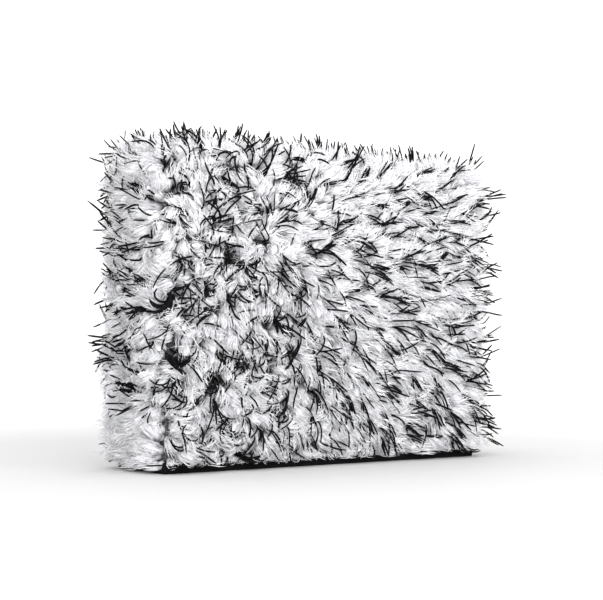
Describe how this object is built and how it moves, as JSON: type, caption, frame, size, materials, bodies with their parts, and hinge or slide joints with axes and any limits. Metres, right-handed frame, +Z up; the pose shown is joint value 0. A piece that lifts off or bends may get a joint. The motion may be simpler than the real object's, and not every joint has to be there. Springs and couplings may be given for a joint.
{
  "type": "wash mitt",
  "caption": "Padded box-shaped wash mitt with shaggy white and black pile on its faces and edges, a lined hand pocket and an elastic knit cuff tucked inside.",
  "frame": {"origin": "middle of the underside of the rim band, on the surface the mitt stands on", "axes": "+X along the width, -Y towards the front face, +Z up from the open end to the closed end"},
  "size_m": [0.248, 0.082, 0.185],
  "materials": {
    "pile_white": "soft white split-fibre tufts, matt with a faint sheen",
    "strand_black": "smooth black twisted cord ends, satin",
    "ground_knit": "dark knitted backing cloth",
    "foam": "open-cell soft padding, off-white",
    "lining_cloth": "thin smooth woven lining",
    "rim_black": "black binding tape, fine rib",
    "cuff_black": "black rib knit",
    "elastic": "covered elastic",
    "thread_black": "black sewing thread"
  },
  "bodies": {
    "mitt": {"front_panel": "ground_knit", "back_panel": "ground_knit", "gusset_panel": "ground_knit", "front_pile": "pile_white", "back_pile": "pile_white", "left_side_pile": "pile_white", "right_side_pile": "pile_white", "top_pile": "pile_white", "front_foam": "foam", "back_foam": "foam", "left_side_foam": "foam", "right_side_foam": "foam", "top_foam": "foam", "front_lining": "lining_cloth", "back_lining": "lining_cloth", "gusset_lining": "lining_cloth", "rim_band": "rim_black", "rim_stitching": "thread_black", "cuff_knit": "cuff_black", "cuff_stitching": "thread_black", "front_seam_thread": "thread_black", "back_seam_thread": "thread_black"},
    "cuff_end": {"cuff_hem": "cuff_black", "cuff_elastic": "elastic", "hem_stitching": "thread_black"}
  },
  "joints": [
    {"name": "cuff_pull", "type": "slide", "parent": "mitt", "child": "cuff_end", "axis": [0, 0, -1], "range_m": [0, 0.096], "deforming": ["cuff_knit"]}
  ]
}
